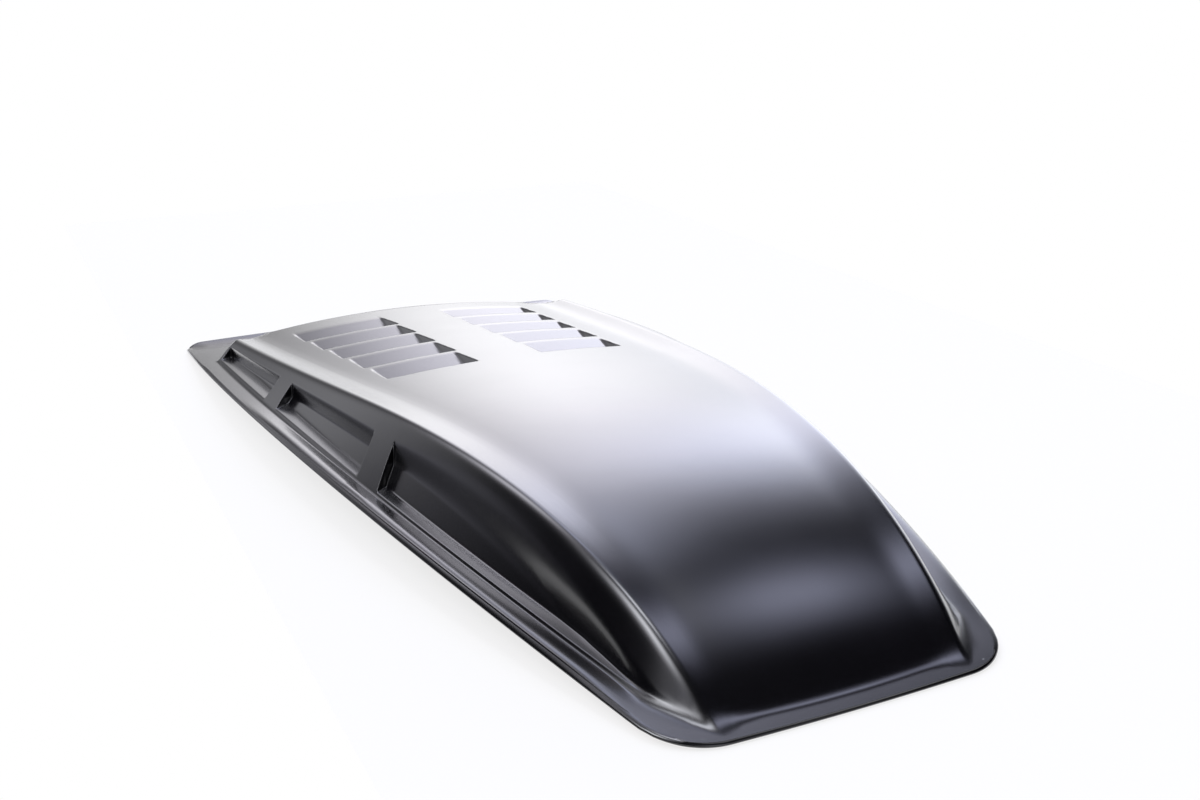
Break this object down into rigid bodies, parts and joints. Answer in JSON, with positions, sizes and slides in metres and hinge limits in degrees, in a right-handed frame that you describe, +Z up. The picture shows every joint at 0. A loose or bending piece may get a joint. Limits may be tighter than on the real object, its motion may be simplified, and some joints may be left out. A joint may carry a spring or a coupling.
{
  "type": "bonnet scoop",
  "caption": "Long arched bonnet scoop moulded as a thin black plastic shell, with a flanged base, raised side rails, recessed side pockets and banks of louvres, held down by tape.",
  "frame": {"origin": "middle of the length and width, on the level of the tape's lowest lines", "axes": "+X to the right as seen from in front of the scoop, +Y to its rear, +Z up"},
  "size_m": [0.4454, 0.9, 0.0846],
  "materials": {
    "black_plastic": "semi-gloss moulded",
    "foam_tape": "matt foam with a red liner"
  },
  "bodies": {
    "root": {"scoop_shell": "black_plastic", "tape": "foam_tape"}
  },
  "joints": []
}
